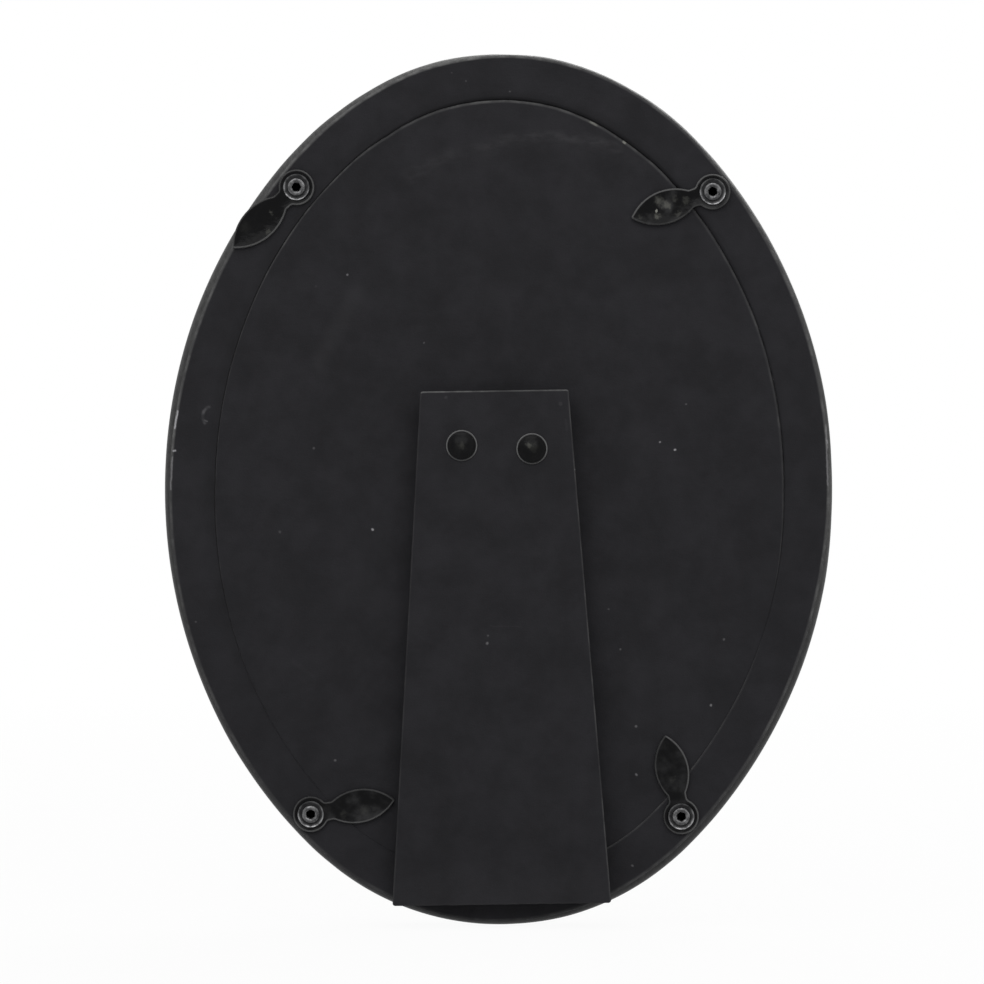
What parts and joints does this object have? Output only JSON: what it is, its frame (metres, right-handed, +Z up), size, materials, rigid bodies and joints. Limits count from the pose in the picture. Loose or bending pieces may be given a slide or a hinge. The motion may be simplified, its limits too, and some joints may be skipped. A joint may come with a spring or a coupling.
{
  "type": "oval picture frame",
  "caption": "Oval table-top picture frame: moulded front, glass, lift-out back panel held by turn buttons on eyelets, and a hinged easel strut that opens to stand it up.",
  "frame": {"origin": "on the surface that the frame stands on, under the middle of its width and depth", "axes": "+Z up the frame's height, front faces -Y, back and easel face +Y, X across the width"},
  "size_m": [0.1516, 0.025, 0.1975],
  "materials": {
    "moulding_lacquer": "satin black lacquer over wood",
    "board_black": "matte black coated fibreboard, worn light at the edges",
    "glass": "clear float glass",
    "insert_paper": "plain uncoated paper",
    "filler_board": "grey board",
    "hinge_steel": "dull zinc-plated steel",
    "eyelet_steel": "black-plated steel, bright where the lip is rolled",
    "button_black": "gloss black enamel on pressed steel, worn at the edges",
    "rivet_black": "gloss black enamelled steel"
  },
  "bodies": {
    "frame": {"front_moulding": "moulding_lacquer", "back_ring": "board_black", "glass_pane": "glass", "picture_insert": "insert_paper", "filler_card": "filler_board", "back_panel": "board_black", "hinge_panel_leaf": "hinge_steel", "hinge_pin": "hinge_steel", "panel_rivet_left": "hinge_steel", "panel_rivet_right": "hinge_steel", "eyelet_upper_left": "eyelet_steel", "eyelet_upper_right": "eyelet_steel", "eyelet_lower_right": "eyelet_steel", "eyelet_lower_left": "eyelet_steel", "eyelet_washer_upper_left": "button_black", "eyelet_washer_upper_right": "button_black", "eyelet_washer_lower_right": "button_black", "eyelet_washer_lower_left": "button_black"},
    "strut": {"easel_strut": "board_black", "hinge_strut_leaf": "hinge_steel", "strut_rivet_left": "rivet_black", "strut_rivet_right": "rivet_black"},
    "button_upper_left": {"turn_button_upper_left": "button_black"},
    "button_upper_right": {"turn_button_upper_right": "button_black"},
    "button_lower_right": {"turn_button_lower_right": "button_black"},
    "button_lower_left": {"turn_button_lower_left": "button_black"}
  },
  "joints": [
    {"name": "easel_hinge", "type": "hinge", "parent": "frame", "child": "strut", "pos_m": [0.00087, 0.00635, 0.11585], "axis": [0.9999, 0, -0.0145], "range_deg": [0, 30]},
    {"name": "button_upper_left_turn", "type": "hinge", "parent": "frame", "child": "button_upper_left", "pos_m": [0.04545, 0.00505, 0.16665], "axis": [0, 1, 0], "continuous": true},
    {"name": "button_upper_right_turn", "type": "hinge", "parent": "frame", "child": "button_upper_right", "pos_m": [-0.04813, 0.00505, 0.16565], "axis": [0, 1, 0], "continuous": true},
    {"name": "button_lower_right_turn", "type": "hinge", "parent": "frame", "child": "button_lower_right", "pos_m": [-0.04104, 0.00505, 0.02519], "axis": [0, 1, 0], "continuous": true},
    {"name": "button_lower_left_turn", "type": "hinge", "parent": "frame", "child": "button_lower_left", "pos_m": [0.04223, 0.00505, 0.0257], "axis": [0, 1, 0], "continuous": true}
  ]
}
